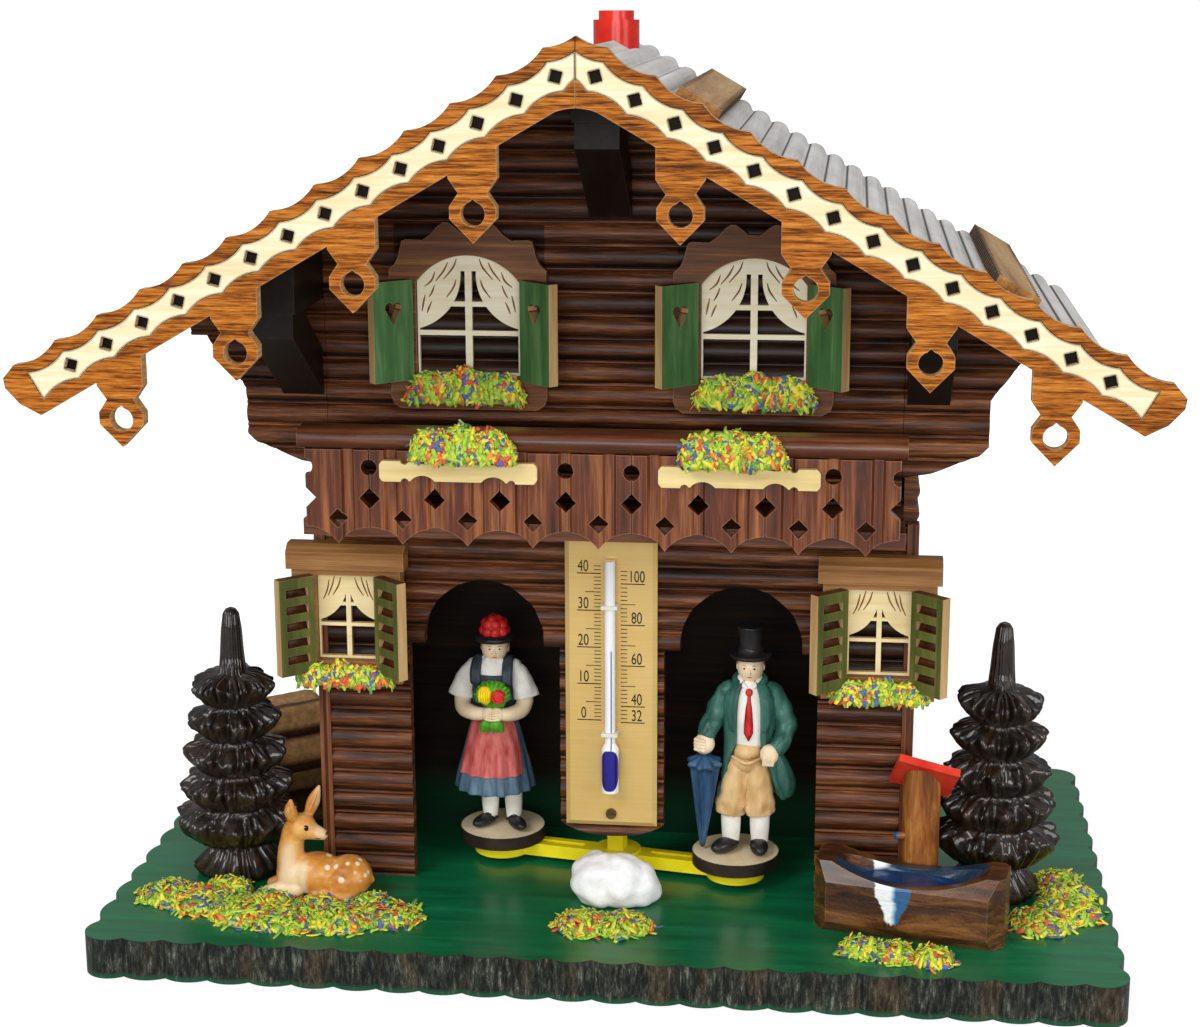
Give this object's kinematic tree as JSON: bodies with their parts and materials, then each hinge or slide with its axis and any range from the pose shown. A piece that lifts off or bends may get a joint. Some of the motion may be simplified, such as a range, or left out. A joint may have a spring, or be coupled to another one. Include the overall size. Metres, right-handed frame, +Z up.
{
  "type": "weather house",
  "caption": "Wooden chalet weather house on a scalloped base: figures on a gut-hung beam swing in and out of twin doorways; the chimney adjusts them; thermometer on the post.",
  "frame": {"origin": "centre of the overall outline on the underside of the base board", "axes": "+X to the viewer's right along the front, -Y out of the front of the house, +Z up"},
  "size_m": [0.224, 0.1466, 0.2025],
  "materials": {
    "base_green": "glossy stain",
    "dark_log": "glossy lacquer",
    "dark_trim": "lacquer",
    "roof_slat": "whitewash",
    "batten": "matte",
    "gable_veneer": "satin veneer",
    "pale_wood": "matte",
    "window_wood": "matte",
    "curtain": "matte paint",
    "shutter_green": "stain",
    "shavings": "dyed shavings",
    "chimney_red": "gloss paint",
    "gut": "translucent gut",
    "plate_gold": "anodised gold",
    "tube_glass": "clear with white back",
    "fluid_blue": "liquid",
    "clip_metal": "plain",
    "beam_yellow": "moulded",
    "stand_sand": "sanded",
    "woman_paint": "painted",
    "man_paint": "painted",
    "umbrella_blue": "painted",
    "tree_dark": "glossy lacquer",
    "fawn_brown": "painted",
    "stone_white": "matte",
    "trough_wood": "lacquer",
    "water_blue": "gloss",
    "bark": "bark",
    "red_board": "paint",
    "split_log": "bark and split faces"
  },
  "bodies": {
    "house": {"base_plate": "base_green", "left_pillar": "dark_log", "right_pillar": "dark_log", "lintel_board": "dark_log", "centre_post": "dark_log", "corner_strips": "dark_trim", "left_side_wall": "dark_log", "right_side_wall": "dark_log", "back_wall": "dark_log", "storey_board": "dark_trim", "gable_wall": "dark_log", "left_wing": "dark_log", "right_wing": "dark_log", "roof_panel_left": "roof_slat", "roof_panel_right": "roof_slat", "roof_battens": "batten", "purlins": "dark_trim", "braces": "dark_trim", "gable_board_left": "gable_veneer", "gable_board_right": "gable_veneer", "gable_inlay_left": "pale_wood", "gable_inlay_right": "pale_wood", "thermometer_plate": "plate_gold", "thermometer_tube": "tube_glass", "thermometer_fluid": "fluid_blue", "tube_clips": "clip_metal", "thermometer_screw": "clip_metal", "balcony_rail": "dark_trim", "balustrade": "dark_trim", "planter_strips": "pale_wood", "balcony_flowers": "shavings", "upper_window_left": "dark_trim", "upper_window_right": "dark_trim", "upper_curtains": "curtain", "upper_shutters": "shutter_green", "lower_window_left": "window_wood", "lower_window_right": "window_wood", "lower_curtains": "curtain", "lower_shutters": "shutter_green", "upper_flowers": "shavings", "lower_flowers": "shavings", "tree_left": "tree_dark", "tree_right": "tree_dark", "fawn": "fawn_brown", "white_stone": "stone_white", "trough": "trough_wood", "trough_water": "water_blue", "trough_post": "bark", "trough_roof": "red_board", "wood_pile": "split_log", "flower_beds": "shavings"},
    "adjuster": {"chimney": "chimney_red", "gut_cord": "gut"},
    "weather_beam": {"beam": "beam_yellow", "woman_stand": "stand_sand", "man_stand": "stand_sand", "woman_figure": "woman_paint", "man_figure": "man_paint", "umbrella": "umbrella_blue"}
  },
  "joints": [
    {"name": "chimney_turn", "type": "hinge", "parent": "house", "child": "adjuster", "pos_m": [0, -0.00335, 0.19], "axis": [0, 0, 1], "range_deg": [-5, 5]},
    {"name": "beam_swing", "type": "hinge", "parent": "adjuster", "child": "weather_beam", "pos_m": [0, -0.00335, 0.031], "axis": [0, 0, 1], "range_deg": [-9, 29], "stiffness_Nm_per_rad": 0.00013}
  ]
}
